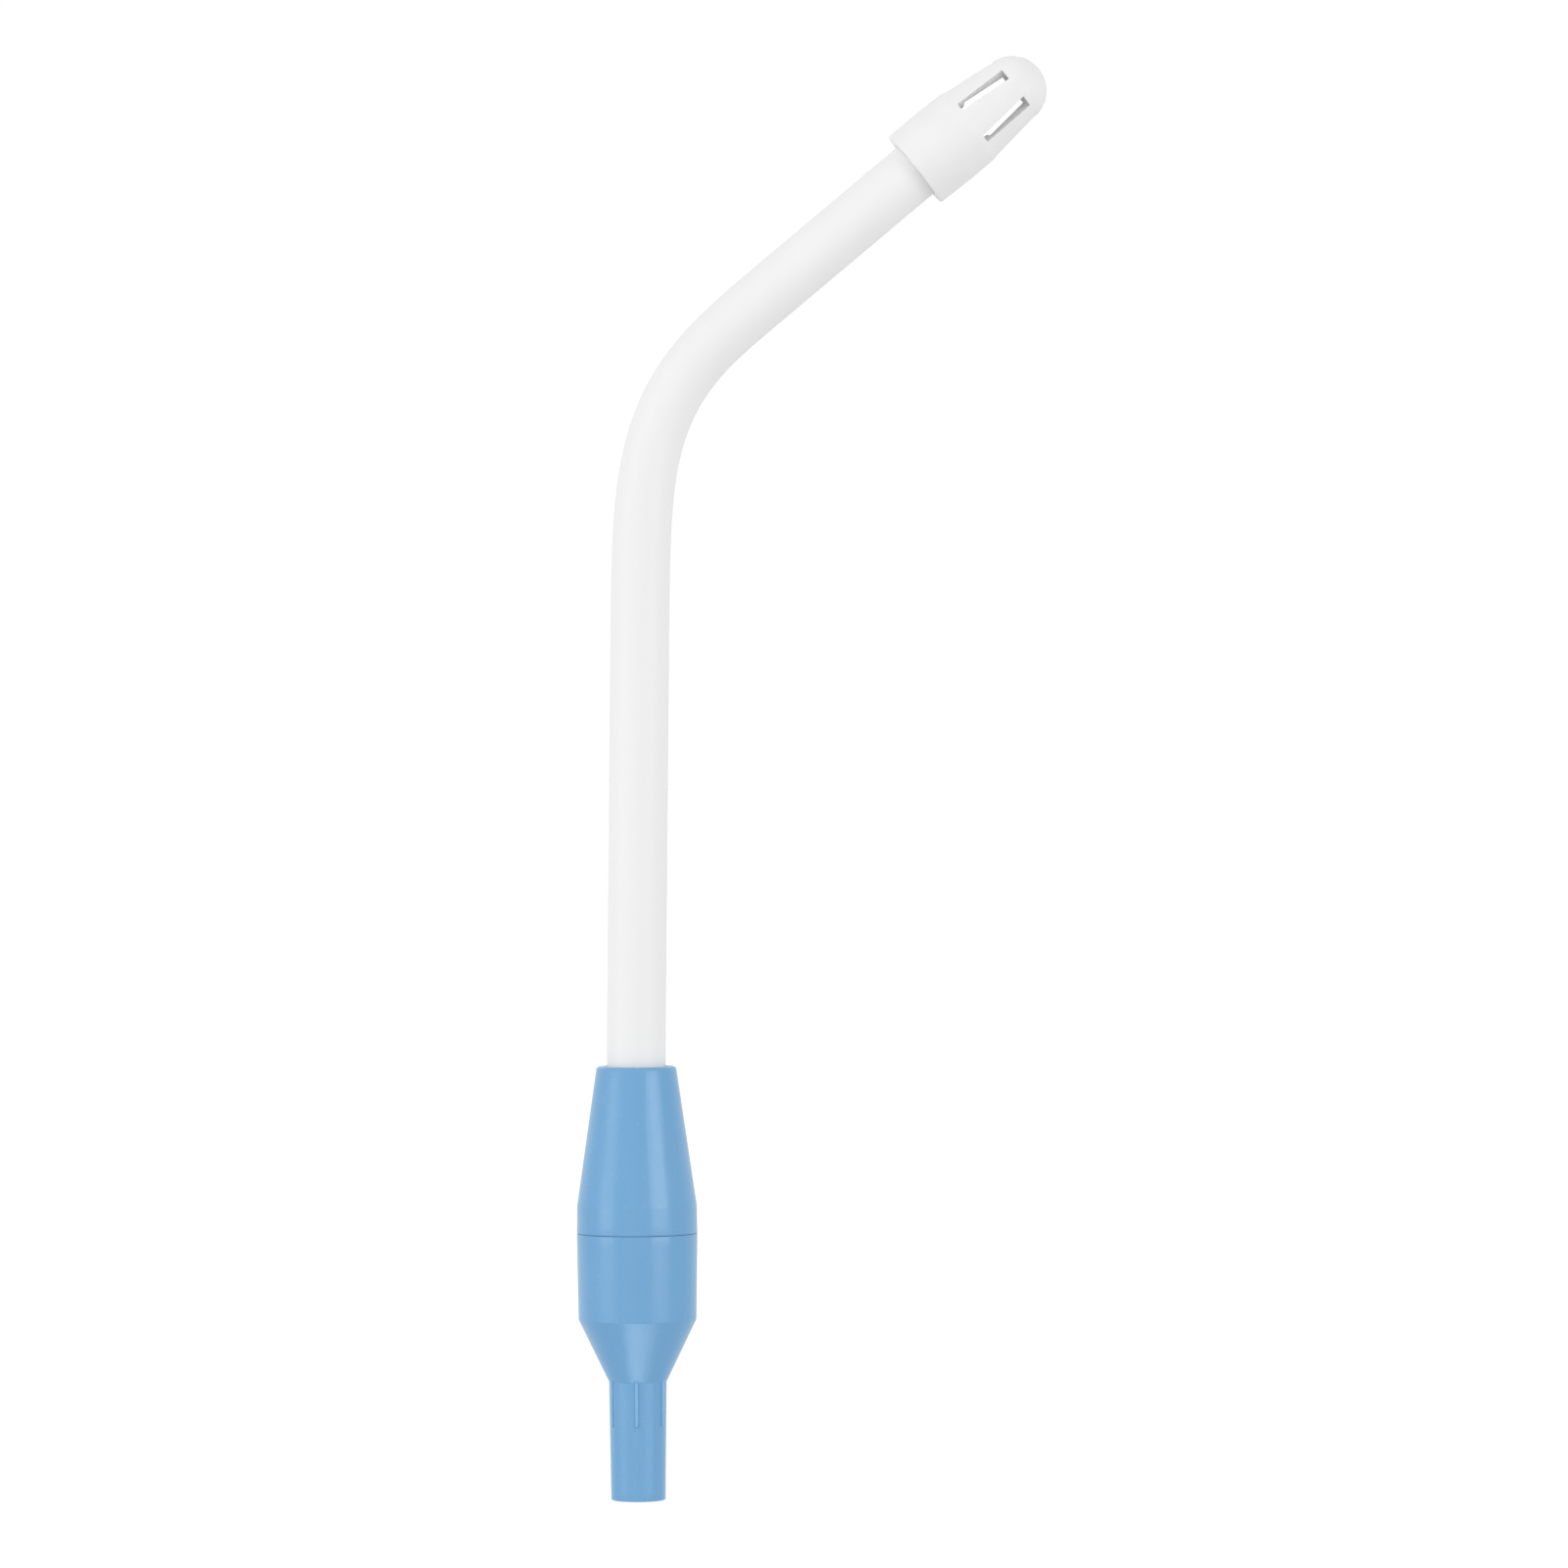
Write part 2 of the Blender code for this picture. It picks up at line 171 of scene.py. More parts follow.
# Cap, in its own frame: +Z runs along its axis from the open base to the nose
CAP_STATION = 158.8
CAP_TILT_CENTRE = 5.1
CAP_BASE_RADIUS = 4.63
CAP_WAIST = 4.3
CAP_WAIST_RADIUS = 4.69
CAP_TAPER = 7.3
CAP_TAPER_RADIUS = 4.64
CAP_CONE = 8.1
CAP_CONE_RADIUS = 4.48
CONE_ROUND = 0.12
DOME_CENTRE = 13.8
DOME_RADIUS = 3.815
DOME_START = math.radians(6.42)
CAP_BORE_RADIUS = 3.4
CAP_STOP = 7.7
CAP_STOP_TOP = 8.36
CAP_STOP_RADIUS = 3.1
TUBE_END_GAP = 0.3
CAVITY_BOTTOM = 8.78
CAVITY_RADIUS = 3.8
CAVITY_DOME_RADIUS = 2.42
CAVITY_DOME_START = math.radians(14.2)
SLOT_BOTTOM = 7.93
SLOT_TOP = 14.13
SLOT_BOTTOM_WIDTH = 0.98
SLOT_TOP_WIDTH = 1.4
SLOT_COUNT = 6
FIRST_SLOT = math.radians(-57.2)
EDGE_SOFTNESS = 0.045

# Fineness of the meshes
TURNED_COLUMNS = 180
VALVE_COLUMNS = 96
TUBE_COLUMNS = 96
WIRE_COLUMNS = 16
SLOT_COLUMNS = 6
LAND_COLUMNS = 26
LIP_COLUMNS = 36
LIP_ROWS = 26
HOUSING_RUN = 0.9
VALVE_RUN = 0.4
FILLET_STEPS = 6
SHARP_ANGLE = math.radians(32)
BEVEL_ANGLE = math.radians(38)
MERGE_DISTANCE = 1e-5


# ---- mesh helpers ----------------------------------------------------------------

def outline(corners, steps=FILLET_STEPS):
    """Points (radius, height) through (radius, height, fillet) corners of a closed outline."""
    points = []
    for index, (radius, height, fillet) in enumerate(corners):
        corner = Vector((radius, height))
        if not fillet:
            points.append((radius, height))
            continue
        back = (Vector(corners[index - 1][:2]) - corner).normalized()
        onward = (Vector(corners[(index + 1) % len(corners)][:2]) - corner).normalized()
        half = back.angle(onward) / 2
        middle = corner + (back + onward).normalized() * fillet / math.sin(half)
        start = corner + back * fillet / math.tan(half) - middle
        end = corner + onward * fillet / math.tan(half) - middle
        sweep = math.atan2(end.y, end.x) - math.atan2(start.y, start.x)
        sweep = (sweep + math.pi) % math.tau - math.pi
        for step in range(steps + 1):
            turned = Matrix.Rotation(sweep * step / steps, 2) @ start
            points.append(tuple(middle + turned))
    return points


def refined(points, length):
    """The same closed outline with more points on its long straight runs."""
    fine = []
    for index, (radius, height) in enumerate(points):
        after = points[(index + 1) % len(points)]
        run = math.hypot(after[0] - radius, after[1] - height)
        steps = max(1, round(run / length))
        for step in range(steps):
            share = step / steps
            fine.append((radius + share * (after[0] - radius),
                         height + share * (after[1] - height)))
    return fine


def even_turns(columns):
    """Evenly spaced angles round the axis."""
    return np.arange(columns) * math.tau / columns


def finished(name, mesh, matrix=None):
    """Object from a mesh in millimetres, in metres, smooth between its sharp edges."""
    mesh.transform(Matrix.Scale(MM, 4))
    if matrix:
        mesh.transform(matrix)
    mesh.shade_smooth()
    mesh.set_sharp_from_angle(angle=SHARP_ANGLE)
    made = bpy.data.objects.new(name, mesh)
    bpy.context.scene.collection.objects.link(made)
    return made


def weld(mesh, whole=False):
    """Merge points that meet; whole also drops loose points and turns the faces outward."""
    welded = bmesh.new()
    welded.from_mesh(mesh)
    bmesh.ops.remove_doubles(welded, verts=welded.verts, dist=MERGE_DISTANCE)
    if whole:
        loose = [vertex for vertex in welded.verts if not vertex.link_faces]
        bmesh.ops.delete(welded, geom=loose, context="VERTS")
        bmesh.ops.recalc_face_normals(welded, faces=welded.faces)
    welded.to_mesh(mesh)
    welded.free()


def swept(name, rings, closed=True):
    """Mesh of rings (rows, columns, 3) whose rows run down the outer side, then back up.

    A ring whose points all meet is a pole, which becomes one point.
    """
    rows, columns = rings.shape[:2]
    mesh = bpy.data.meshes.new(name)
    last = rows if closed else rows - 1
    faces = []
    for row in range(last):
        below = (row + 1) % rows
        for column in range(columns):
            beside = (column + 1) % columns
            faces.append((row * columns + column, below * columns + column,
                          below * columns + beside, row * columns + beside))
    mesh.from_pydata(rings.reshape(-1, 3), [], faces)
    weld(mesh)
    return mesh


def lathe(name, points, turns, swell=None):
    """Turned mesh about +Z; swell(turns, heights, radii) adds to each point's radius."""
    radius = np.array([p[0] for p in points])[:, None]
    height = np.array([p[1] for p in points])[:, None]
    grid = radius + (swell(turns[None, :], height, radius) if swell else 0)
    rings = np.stack([grid * np.cos(turns), grid * np.sin(turns),
                      height + 0 * turns], axis=-1)
    return swept(name, rings)


# ---- the tube's centreline -------------------------------------------------------

def running_sum(values):
    """Trapezium sum of values along the path, from 0."""
    return np.concatenate([[0], np.cumsum((values[1:] + values[:-1]) / 2)])


PATH = np.linspace(0, 175, 35001)
along = np.clip((PATH - BEND_START) / BEND_LENGTH, 0, 1)
density = along**BEND_RISE * (1 - along)**BEND_FALL
BEND_SHARE = running_sum(density) / running_sum(density)[-1]
SHARPNESS = density / density.max()
lean = np.clip((PATH - LEAN_START) / LEAN_LENGTH, 0, 1)
TURN = LEAN * lean**2 * (3 - 2 * lean) + BEND * BEND_SHARE
PATH_X = running_sum(np.sin(TURN)) * PATH[1]
PATH_Z = running_sum(np.cos(TURN)) * PATH[1]
HINGES = [JOINTS[f"tube_bend_{number}"] for number in range(1, 7)]
HINGE_STATIONS = [float(np.interp(joint["pos_m"][2] / MM, PATH_Z, PATH)) for joint in HINGES]
CHAIN = [HINGES[0]["parent"], *(joint["child"] for joint in HINGES)]


def centre(station):
    """Point on the tube's centreline, in metres."""
    return Vector((np.interp(station, PATH, PATH_X), 0, np.interp(station, PATH, PATH_Z))) * MM


def stations(start, end, straight=2.5, bent=0.35):
    """Path lengths from start to end, close together where the tube bends."""
    found = [start]
    while found[-1] < end:
        sharp = np.interp(found[-1] + bent, PATH, SHARPNESS)
        step = bent + (straight - bent) * (1 - min(1, sharp / 0.02))
        found.append(found[-1] + step)
    found[-1] = end
    if found[-1] - found[-2] < bent / 2 and len(found) > 2:
        found.pop(-2)
    return found


def path_rings(profile, columns, offset=0, oval=True):
    """Rings round the centreline for (radius, station) points, moved along +Y by offset."""
    radius = np.array([p[0] for p in profile])
    station = np.array([p[1] for p in profile])
    turn = np.interp(station, PATH, TURN)[:, None]
    sharp = np.interp(station, PATH, SHARPNESS)[:, None] * oval
    around = even_turns(columns)[None, :]
    inward = radius[:, None] * np.cos(around) * (1 - SQUEEZE * sharp)
    aside = radius[:, None] * np.sin(around) * (1 + SWELL * sharp) + offset
    x = np.interp(station, PATH, PATH_X)[:, None] + inward * np.cos(turn)
    z = np.interp(station, PATH, PATH_Z)[:, None] - inward * np.sin(turn)
    return np.stack([x, aside, z], axis=-1)


def exact_normals(piece, station_of, bore=0):
    """Normals of a swept piece's outside from its centreline, so that cuts don't show."""
    mesh = piece.data
    middle = np.array([[np.interp(s, PATH, PATH_X), 0, np.interp(s, PATH, PATH_Z)]
                       for s in station_of]) * MM
    along_path = np.array([[math.sin(a), 0, math.cos(a)]
                           for a in np.interp(station_of, PATH, TURN)])
    normals = []
    for face in mesh.polygons:
        for corner in face.loop_indices:
            index = mesh.loops[corner].vertex_index
            away = np.array(mesh.vertices[index].co) - middle[index]
            away -= along_path[index] * (away @ along_path[index])
            size = np.linalg.norm(away)
            away /= size
            outside = size / MM > bore and np.dot(away, np.array(face.normal)) > 0.8
            normals.append(tuple(away) if outside else (0, 0, 0))
    mesh.normals_split_custom_set(normals)


# ---- materials -------------------------------------------------------------------

GLOSS_SPREAD = 0.025
RELIEF_DEPTH = 0.05
# Painted highlight on the rib crowns: the share of the rib's height where the paler colour
# starts and where it is full
RIB_HIGHLIGHT_START = 0.40
RIB_HIGHLIGHT_FULL = 0.55


def nodes_of(material):
    """New material's node tree, emptied, and the Principled shader that it now shows."""
    material.use_nodes = True
    tree = material.node_tree
    tree.nodes.clear()
    output = tree.nodes.new("ShaderNodeOutputMaterial")
    shader = tree.nodes.new("ShaderNodeBsdfPrincipled")
    tree.links.new(shader.outputs["BSDF"], output.inputs["Surface"])
    return tree, shader


def noise(tree, scale, detail=2.0, stretch=(1, 1, 1)):
    """Noise over the object's own coordinates, with features of about 1 / scale metres."""
    place = tree.nodes.new("ShaderNodeTexCoord")
    mapping = tree.nodes.new("ShaderNodeMapping")
    mapping.inputs["Scale"].default_value = stretch
    texture = tree.nodes.new("ShaderNodeTexNoise")
    texture.inputs["Scale"].default_value = scale
    texture.inputs["Detail"].default_value = detail
    tree.links.new(place.outputs["Object"], mapping.inputs["Vector"])
    tree.links.new(mapping.outputs["Vector"], texture.inputs["Vector"])
    return texture.outputs["Fac"]


def level_place(tree):
    """An object's own coordinates, and the same ones with their height taken out."""
    place = tree.nodes.new("ShaderNodeTexCoord")
    level = tree.nodes.new("ShaderNodeVectorMath")
    level.operation = "MULTIPLY"
    level.inputs[1].default_value = (1, 1, 0)
    tree.links.new(place.outputs["Object"], level.inputs[0])
    return place.outputs["Object"], level.outputs["Vector"]


def draw_lines(tree, count, stretch):
    """Noise in lines that run up a turned piece, about count of them round its axis."""
    place, level = level_place(tree)
    outward = tree.nodes.new("ShaderNodeVectorMath")
    outward.operation = "NORMALIZE"
    along_axis = tree.nodes.new("ShaderNodeVectorMath")
    along_axis.operation = "MULTIPLY"
    along_axis.inputs[1].default_value = (0, 0, stretch)
    together = tree.nodes.new("ShaderNodeVectorMath")
    together.operation = "ADD"
    texture = tree.nodes.new("ShaderNodeTexNoise")
    texture.inputs["Scale"].default_value = count / math.tau
    texture.inputs["Detail"].default_value = 3.0
    tree.links.new(level, outward.inputs[0])
    tree.links.new(place, along_axis.inputs[0])
    tree.links.new(outward.outputs["Vector"], together.inputs[0])
    tree.links.new(along_axis.outputs["Vector"], together.inputs[1])
    tree.links.new(together.outputs["Vector"], texture.inputs["Vector"])
    return texture.outputs["Fac"]


def spread(tree, value, low_value, high_value):
    """Map a noise value to a range."""
    ramp = tree.nodes.new("ShaderNodeMapRange")
    ramp.inputs["From Min"].default_value = 0.3
    ramp.inputs["From Max"].default_value = 0.7
    ramp.inputs["To Min"].default_value = low_value
    ramp.inputs["To Max"].default_value = high_value
    tree.links.new(value, ramp.inputs["Value"])
    return ramp.outputs["Result"]


def satin(name, dark, light, roughness, grain, cloud, flow=(1, 1, 1), metallic=0.0,
          bump=0.02, lines=0):
    """Moulded or drawn surface: two close shades in clouds, fine relief and uneven gloss."""
    material = bpy.data.materials.new(name)
    tree, shader = nodes_of(material)
    shades = tree.nodes.new("ShaderNodeMix")
    shades.data_type = "RGBA"
    shades.inputs["A"].default_value = (*dark, 1)
    shades.inputs["B"].default_value = (*light, 1)
    clouds = noise(tree, cloud, 3.0, flow)
    tree.links.new(spread(tree, clouds, 0, 1), shades.inputs["Factor"])
    tree.links.new(shades.outputs["Result"], shader.inputs["Base Color"])
    gloss = noise(tree, cloud * 3, 4.0, flow)
    tree.links.new(spread(tree, gloss, roughness - GLOSS_SPREAD, roughness + GLOSS_SPREAD),
                   shader.inputs["Roughness"])
    relief = tree.nodes.new("ShaderNodeBump")
    relief.inputs["Strength"].default_value = bump
    relief.inputs["Distance"].default_value = RELIEF_DEPTH * MM
    height = draw_lines(tree, lines, 8) if lines else noise(tree, grain, 3.0, flow)
    tree.links.new(height, relief.inputs["Height"])
    tree.links.new(relief.outputs["Normal"], shader.inputs["Normal"])
    shader.inputs["Metallic"].default_value = metallic
    return material, shader


def painted_rib_highlight(shader, highlight_colour):
    """Painted highlight: a paler colour on the crowns of the tail's ribs, where the surface
    stands out from the tail.
    """
    tree = shader.id_data
    place, level = level_place(tree)
    reach = tree.nodes.new("ShaderNodeVectorMath")
    reach.operation = "LENGTH"
    crown = tree.nodes.new("ShaderNodeMapRange")
    for end, share in (("From Min", RIB_HIGHLIGHT_START), ("From Max", RIB_HIGHLIGHT_FULL)):
        crown.inputs[end].default_value = (TAIL_TOP_RADIUS + share * RIB_HEIGHT) * MM
    parts = tree.nodes.new("ShaderNodeSeparateXYZ")
    on_tail = tree.nodes.new("ShaderNodeMath")
    on_tail.operation = "LESS_THAN"
    on_tail.inputs[1].default_value = TAIL_TOP * MM
    both = tree.nodes.new("ShaderNodeMath")
    both.operation = "MULTIPLY"
    highlight_mix = tree.nodes.new("ShaderNodeMix")
    highlight_mix.data_type = "RGBA"
    highlight_mix.inputs["B"].default_value = (*highlight_colour, 1)
    tree.links.new(level, reach.inputs[0])
    tree.links.new(reach.outputs["Value"], crown.inputs["Value"])
    tree.links.new(place, parts.inputs["Vector"])
    tree.links.new(parts.outputs["Z"], on_tail.inputs[0])
    tree.links.new(crown.outputs["Result"], both.inputs[0])
    tree.links.new(on_tail.outputs["Value"], both.inputs[1])
    tree.links.new(both.outputs["Value"], highlight_mix.inputs["Factor"])
    base = shader.inputs["Base Color"]
    tree.links.new(base.links[0].from_socket, highlight_mix.inputs["A"])
    tree.links.new(highlight_mix.outputs["Result"], base)


BLUE, blue_shader = satin("blue_plastic", (0.167, 0.395, 0.664), (0.175, 0.406, 0.677),
                          0.26, 1500, 260, (1, 1, 0.6), bump=0.35, lines=60)
# Painted highlight: a paler blue on the rib crowns stands in for the light that they catch
painted_rib_highlight(blue_shader, (0.220, 0.490, 0.760))
WHITE, _ = satin("white_tube", (0.875, 0.875, 0.875), (0.895, 0.895, 0.895), 0.48,
                 1500, 200, (1, 1, 0.12), bump=0.03)
CAP_WHITE, _ = satin("white_cap", (0.87, 0.87, 0.87), (0.89, 0.89, 0.89), 0.50,
                     1800, 300, bump=0.03)
SILICONE, silicone_shader = satin("silicone", (0.78, 0.81, 0.83), (0.83, 0.85, 0.86), 0.5,
                                  3000, 400, bump=0.1)
silicone_shader.inputs["Transmission Weight"].default_value = 0.25
WIRE, _ = satin("steel_wire", (0.50, 0.27, 0.16), (0.62, 0.38, 0.24), 0.28, 9000, 1500,
                (1, 1, 0.05), metallic=1.0, bump=0.2)


def dress(piece, material, slot, *nodes, body=None):
    """Give a piece its material, let it stand for CAD nodes, and let it ride."""
    piece.data.materials.clear()
    piece.data.materials.append(material)
    if nodes:
        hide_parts(*nodes)
    if body:
        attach(piece, body)
    return piece


# ---- the housing -----------------------------------------------------------------

def rib_turns():
    """Angles round the tail: even ones, and closer ones across each rib."""
    half = RIB_HALF_WIDTH * np.array([*RIB_PROFILE[0][1:], 1.15, 1.3])
    across = np.concatenate([-half[::-1], [0], half]) / TAIL_TOP_RADIUS
    near = (RIB_TURNS[:, None] + across[None, :]).ravel() % math.tau
    even = even_turns(TURNED_COLUMNS)
    gap = np.abs((even[:, None] - RIB_TURNS[None, :] + math.pi) % math.tau - math.pi)
    clear = even[gap.min(axis=1) > across[-1] + 0.02]
    return np.sort(np.concatenate([near, clear]))


def rib_swell(turns, heights, radii):
    """Height of the ribs over the tail's outer face, with round lower ends."""
    gap = np.abs((turns[..., None] - RIB_TURNS + math.pi) % math.tau - math.pi).min(axis=-1)
    across = gap * TAIL_TOP_RADIUS
    below = np.clip(RIB_BOTTOM + RIB_HALF_WIDTH - heights, 0, None)
    reach = np.hypot(across, below)
    share = np.interp(reach / RIB_HALF_WIDTH, *RIB_PROFILE)
    outer = radii > (TAIL_END_RADIUS + TAIL_BORE_RADIUS) / 2
    crown_radius = TAIL_TOP_RADIUS + RIB_HEIGHT
    room = np.clip(crown_radius - radii, 0, RIB_HEIGHT)
    return outer * (heights < SHOULDER) * share * room


def lower_housing():
    """Tail with ribs, cone, shoulder and barrel, hollow inside."""
    points = outline([
        (SEAM_RADIUS, SEAM, 0.10),
        (SHOULDER_RADIUS, SHOULDER, 0.35),
        (TAIL_TOP_RADIUS + FOOT_STEP, TAIL_TOP, 0.0),
        (TAIL_TOP_RADIUS, TAIL_TOP - FOOT_STEP, 0.0),
        (TAIL_END_RADIUS, 0, 0.15),
        (TAIL_BORE_RADIUS, 0, 0.10),
        (TAIL_BORE_TOP_RADIUS, TAIL_BORE_TOP, 0.3),
        (CHAMBER_RADIUS, CHAMBER_BOTTOM, 0.4),
        (CHAMBER_RADIUS, LEDGE, 0.08),
        (RECESS_RADIUS, LEDGE, 0.1),
        (RECESS_RADIUS, SEAM, 0.06),
    ])
    fine = refined(points, HOUSING_RUN)
    bottom = first_bottom_point(fine)
    rib_rows = [
        (TAIL_END_RADIUS + (TAIL_TOP_RADIUS - TAIL_END_RADIUS) * height / TAIL_TOP, height)
        for height in np.linspace(RIB_BOTTOM + 0.5, RIB_BOTTOM - 0.12, 14)
    ]
    foot_rows = [
        (TAIL_TOP_RADIUS + FOOT_STEP
         + (SHOULDER_RADIUS - TAIL_TOP_RADIUS - FOOT_STEP) * (height - TAIL_TOP)
         / (SHOULDER - TAIL_TOP), height)
        for height in np.linspace(TAIL_TOP + 0.36, TAIL_TOP + 0.06, 6)
    ]
    down = sorted(fine[:bottom] + rib_rows + foot_rows, key=lambda point: -point[1])
    mesh = lathe("lower_housing_shell", down + fine[bottom:], rib_turns(), rib_swell)
    return dress(finished("lower_housing_shell", mesh), BLUE, "blue_plastic",
                 "lower_housing", body="housing")


def first_bottom_point(points):
    """Index of the first point of an outline that lies on its bottom face."""
    return next(index for index, point in enumerate(points) if point[1] < 1e-6)


def upper_housing():
    """Spigot, band, cone and rim, with the tube's socket."""
    points = outline([
        (RIM_RADIUS, RIM, 0.4),
        (BAND_TOP_RADIUS, BAND_TOP, 0.4),
        (SEAM_RADIUS - 0.01, SEAM + SEAM_LINE, 0.03),
        (SPIGOT_RADIUS, SEAM + SEAM_LINE, 0.05),
        (SPIGOT_RADIUS, SPIGOT_BOTTOM, 0.15),
        (SPIGOT_BORE_RADIUS, SPIGOT_BOTTOM, 0.15),
        (SPIGOT_BORE_RADIUS, THROAT_BOTTOM, 0.4),
        (THROAT_RADIUS, THROAT_TOP, 0.3),
        (THROAT_RADIUS, SOCKET_BOTTOM, 0.08),
        (SOCKET_RADIUS, SOCKET_BOTTOM, 0.06),
        (SOCKET_RADIUS, RIM - LEAD_IN, 0.05),
        (MOUTH_RADIUS, RIM, 0.05),
    ])
    mesh = lathe("upper_housing_shell", refined(points, HOUSING_RUN),
                 even_turns(TURNED_COLUMNS))
    return dress(finished("upper_housing_shell", mesh), BLUE, "blue_plastic",
                 "upper_housing", body="housing")


# ---- the valve -------------------------------------------------------------------

def duckbill_barrel():
    """Flange and barrel, with rounded edges."""
    points = outline([
        (FLANGE_RADIUS, FLANGE_TOP, 0.15),
        (FLANGE_RADIUS, FLANGE_BOTTOM, 0.15),
        (VALVE_RADIUS, FLANGE_BOTTOM, 0.3),
        (VALVE_RADIUS, VALVE_BOTTOM, 0),
        (VALVE_RADIUS - VALVE_WALL, VALVE_BOTTOM, 0),
        (VALVE_RADIUS - VALVE_WALL, FLANGE_TOP, 0.3),
    ])
    mesh = lathe("duckbill_barrel_body", refined(points, VALVE_RUN),
                 even_turns(VALVE_COLUMNS))
    return dress(finished("duckbill_barrel_body", mesh), SILICONE, "silicone",
                 "duckbill_barrel", body="housing")


def duckbill_lip(side):
    """Half of the barrel's ring drawn down to a flat blade, which closes on its twin."""
    half = math.acos(LIP_HALF_GAP / VALVE_RADIUS)
    turns = np.linspace(-half, half, LIP_COLUMNS)
    rings = []
    for level in range(LIP_ROWS + 1):
        share = level / LIP_ROWS
        ease = share**LIP_EASE
        height = VALVE_BOTTOM + (LIP_BOTTOM - VALVE_BOTTOM) * share
        wall = VALVE_WALL * (1 - LIP_THINNING * share)
        loop = []
        for radius, blade, order in ((VALVE_RADIUS, LIP_HALF_GAP + wall, 1),
                                     (VALVE_RADIUS - VALVE_WALL, LIP_HALF_GAP, -1)):
            x = np.maximum((1 - ease) * radius * np.cos(turns) + ease * blade, LIP_HALF_GAP)
            y = ((1 - ease) * radius + ease * LIP_HALF_WIDTH) * np.sin(turns)
            loop += list(zip(side * x, y, [height] * LIP_COLUMNS))[::order]
        rings.append(loop if side > 0 else loop[::-1])
    mesh = swept("lip", np.array(rings), closed=False)
    capped = bmesh.new()
    capped.from_mesh(mesh)
    edges = [edge for edge in capped.edges if edge.is_boundary]
    bmesh.ops.holes_fill(capped, edges=edges)
    bmesh.ops.recalc_face_normals(capped, faces=capped.faces)
    capped.to_mesh(mesh)
    capped.free()
    word = "left" if side < 0 else "right"
    lip = dress(finished(f"duckbill_lip_{word}_body", mesh), SILICONE, "silicone",
                f"duckbill_lip_{word}")
    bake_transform(lip)


# ---- the tube and its wire -------------------------------------------------------

def tube_stretches():
    """(name, bodies, start, end) of each stretch: rigid ends and one per hinge between."""
    middles = [(a + b) / 2 for a, b in zip(HINGE_STATIONS, HINGE_STATIONS[1:])]
    first = 2 * HINGE_STATIONS[0] - middles[0]
    last = 2 * HINGE_STATIONS[-1] - middles[-1]
    cuts = [first, *middles, last]
    tube_end = CAP_STATION + CAP_STOP - TUBE_END_GAP
    rows = [("stem", CHAIN[0], None, TUBE_BOTTOM, first)]
    for number in range(len(HINGES)):
        rows.append((f"bend_{number + 1}", CHAIN[number], CHAIN[number + 1],
                     cuts[number], cuts[number + 1]))
    rows.append(("neck", CHAIN[-1], None, last, tube_end))
    return rows


def path_piece(name, profile, columns, offset=0, bore=0):
    """Closed solid swept along the centreline."""
    rings = path_rings(profile, columns, offset, oval=offset == 0)
    piece = finished(name, swept(name, rings, closed=offset == 0))
    if offset == 0:
        nearest = [closest_station(vertex.co) for vertex in piece.data.vertices]
        exact_normals(piece, nearest, bore)
    return piece


def closest_station(place):
    """Path length of the centreline's point nearest to a place, in metres."""
    gap = (PATH_X * MM - place.x)**2 + (PATH_Z * MM - place.z)**2
    return PATH[int(np.argmin(gap))]


def tube_and_wire():
    """The tube's wall and the wire in it, cut only where the frame's bodies change."""
    replaced = {"stem": "stem", "neck": "neck"}
    for name, body, onward, start, end in tube_stretches():
        rows = stations(start, end)
        outer = [(TUBE_RADIUS, s) for s in rows[::-1]]
        inner = [(LUMEN_RADIUS, s) for s in rows]
        tube = path_piece(f"tube_{name}_wall", outer + inner, TUBE_COLUMNS,
                          bore=(TUBE_RADIUS + LUMEN_RADIUS) / 2)
        rod = [(0, rows[-1]), *((WIRE_RADIUS, s) for s in rows[::-1]), (0, rows[0])]
        wire = path_piece(f"shaping_wire_{name}_rod", rod, WIRE_COLUMNS, WIRE_OFFSET)
        stands_for = replaced.get(name) or (onward if onward != CHAIN[-1] else None)
        for piece, kind, look, slot in ((tube, "tube", WHITE, "white_tube"),
                                        (wire, "shaping_wire", WIRE, "steel_wire")):
            dress(piece, look, slot, *([f"{kind}_{stands_for}"] if stands_for else []))
            if onward:
                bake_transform(piece)
            else:
                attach(piece, body)


# ---- the cap ---------------------------------------------------------------------

